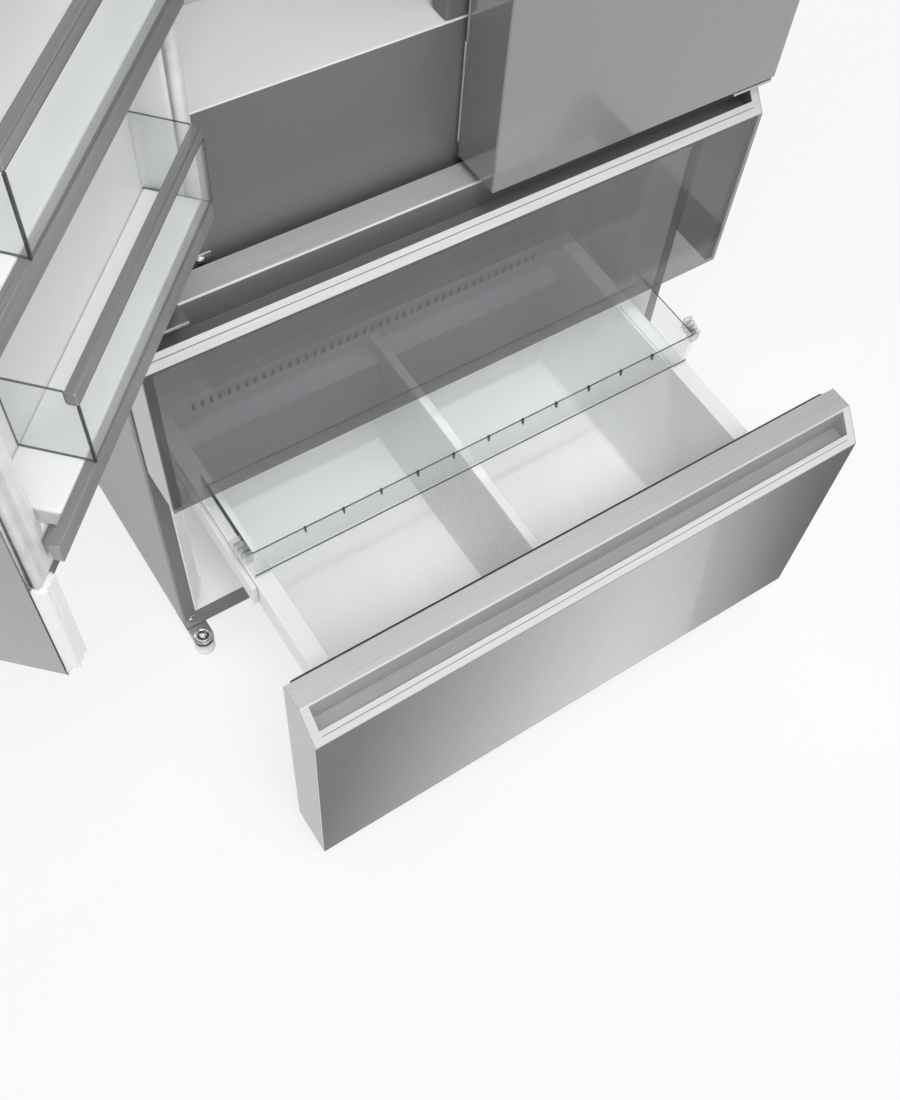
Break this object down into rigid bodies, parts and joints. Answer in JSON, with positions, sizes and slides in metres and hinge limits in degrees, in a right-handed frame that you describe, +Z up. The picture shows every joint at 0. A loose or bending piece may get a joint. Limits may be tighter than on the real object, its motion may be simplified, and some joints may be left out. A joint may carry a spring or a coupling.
{
  "type": "multi-door fridge freezer",
  "caption": "Tall fridge freezer with paired hinged doors over full-width freezer drawers; one drawer and one door stand open on telescopic slides and pins.",
  "frame": {"origin": "on the floor, in the middle of the width, under the front face of the cabinet", "axes": "+X to the right seen from the front, +Y to the back, +Z up; the doors face -Y"},
  "size_m": [1.1781, 1.184, 1.785],
  "materials": {
    "cabinet_grey": "satin painted steel, warm light grey",
    "frame_grey": "satin painted steel, dark grey",
    "front_grey": "glossy grey coated steel",
    "brushed_rail": "fine brushed along its length",
    "zinc_steel": "zinc plated sheet",
    "white_plastic": "moulded, slightly glossy white",
    "clear_plastic": "clear moulded polystyrene",
    "smoked_glass": "smoked see-through panel",
    "clear_glass": "toughened glass",
    "metal_trim": "anodised trim",
    "seal_grey": "soft dark grey seal",
    "seal_white": "soft white seal",
    "white_paint": "white epoxy coated steel",
    "chrome_metal": "bright plated",
    "foam": "rigid polyurethane foam",
    "black_paint": "black enamel",
    "heat_fins": "plain fin stock",
    "dark_plastic": "moulded dark plastic"
  },
  "bodies": {
    "cabinet": {"air_duct": "white_plastic", "base_plate": "zinc_steel", "cabinet_shell": "cabinet_grey", "centre_post": "frame_grey", "compressor": "black_paint", "condenser": "heat_fins", "drawer_rails": "white_paint", "evaporator": "heat_fins", "evaporator_cover": "white_plastic", "fan_motor": "black_paint", "foam_insulation": "foam", "foot_brackets": "chrome_metal", "freezer_liner": "white_plastic", "fridge_liner": "white_plastic", "front_frame": "frame_grey", "glass_shelves": "clear_glass", "hinge_covers": "cabinet_grey", "hinge_screws": "chrome_metal", "machine_cover": "zinc_steel", "middle_hinge_left": "zinc_steel", "middle_hinge_right": "zinc_steel", "rear_panel": "zinc_steel", "roller_brackets": "zinc_steel", "top_hinge_left": "zinc_steel", "top_hinge_right": "zinc_steel"},
    "left_door": {"left_door_gasket": "seal_white", "left_door_guards": "clear_plastic", "left_door_liner": "white_plastic", "left_door_shelves": "white_plastic", "left_door_skin": "front_grey", "left_door_trims": "metal_trim"},
    "right_door": {"right_door_gasket": "seal_white", "right_door_guards": "clear_plastic", "right_door_liner": "white_plastic", "right_door_shelves": "white_plastic", "right_door_skin": "front_grey", "right_door_trims": "metal_trim"},
    "middle_drawer": {"middle_front_glass": "smoked_glass", "middle_handle_rail": "brushed_rail", "middle_stiles": "cabinet_grey", "middle_gasket": "seal_grey", "middle_tub": "clear_plastic", "middle_runners": "white_paint"},
    "middle_slides": {"middle_slides": "white_paint"},
    "freezer_drawer": {"freezer_front_panel": "front_grey", "freezer_front_body": "cabinet_grey", "freezer_handle_rail": "brushed_rail", "freezer_gasket": "seal_grey", "freezer_tub": "white_plastic", "tub_vent_grille": "white_plastic", "tub_divider": "white_plastic", "freezer_runners": "white_paint"},
    "freezer_slides": {"freezer_slides": "white_paint"},
    "freezer_tray": {"freezer_tray": "clear_plastic"},
    "crisper_left": {"crisper_left": "clear_plastic"},
    "crisper_right": {"crisper_right": "clear_plastic"},
    "evaporator_fan": {"evaporator_fan": "dark_plastic"},
    "foot_left": {"foot_left": "chrome_metal"},
    "foot_right": {"foot_right": "chrome_metal"},
    "rear_rollers": {"rear_rollers": "dark_plastic"}
  },
  "joints": [
    {"name": "left_door_hinge", "type": "hinge", "parent": "cabinet", "child": "left_door", "pos_m": [-0.42, -0.072, 1.3], "axis": [0, 0, 1], "range_deg": [0, 135]},
    {"name": "right_door_hinge", "type": "hinge", "parent": "cabinet", "child": "right_door", "pos_m": [0.42, -0.072, 1.3], "axis": [0, 0, 1], "range_deg": [0, 135]},
    {"name": "middle_drawer_slide", "type": "slide", "parent": "cabinet", "child": "middle_drawer", "axis": [0, -1, 0], "range_m": [0, 0.42]},
    {"name": "middle_member_slide", "type": "slide", "parent": "cabinet", "child": "middle_slides", "axis": [0, -1, 0], "range_m": [0, 0.21]},
    {"name": "freezer_drawer_slide", "type": "slide", "parent": "cabinet", "child": "freezer_drawer", "axis": [0, -1, 0], "range_m": [-0.357, 0.063]},
    {"name": "freezer_member_slide", "type": "slide", "parent": "cabinet", "child": "freezer_slides", "axis": [0, -1, 0], "range_m": [-0.1785, 0.0315]},
    {"name": "freezer_tray_slide", "type": "slide", "parent": "freezer_drawer", "child": "freezer_tray", "axis": [0, 1, 0], "range_m": [-0.205, 0.165]},
    {"name": "crisper_left_slide", "type": "slide", "parent": "cabinet", "child": "crisper_left", "axis": [0, -1, 0], "range_m": [0, 0.115]},
    {"name": "crisper_right_slide", "type": "slide", "parent": "cabinet", "child": "crisper_right", "axis": [0, -1, 0], "range_m": [0, 0.115]},
    {"name": "evaporator_fan_spin", "type": "hinge", "parent": "cabinet", "child": "evaporator_fan", "pos_m": [0, 0.566, 0.6775], "axis": [0, 1, 0], "continuous": true},
    {"name": "foot_left_turn", "type": "hinge", "parent": "cabinet", "child": "foot_left", "pos_m": [-0.437, -0.022, 0.02], "axis": [0, 0, 1], "continuous": true},
    {"name": "foot_right_turn", "type": "hinge", "parent": "cabinet", "child": "foot_right", "pos_m": [0.437, -0.022, 0.02], "axis": [0, 0, 1], "continuous": true},
    {"name": "rear_rollers_turn", "type": "hinge", "parent": "cabinet", "child": "rear_rollers", "pos_m": [0, 0.65, 0.0195], "axis": [1, 0, 0], "continuous": true}
  ],
  "couplings": [
    {"joint": "middle_member_slide", "follows": "middle_drawer_slide", "ratio": 0.5},
    {"joint": "freezer_member_slide", "follows": "freezer_drawer_slide", "ratio": 0.5}
  ]
}
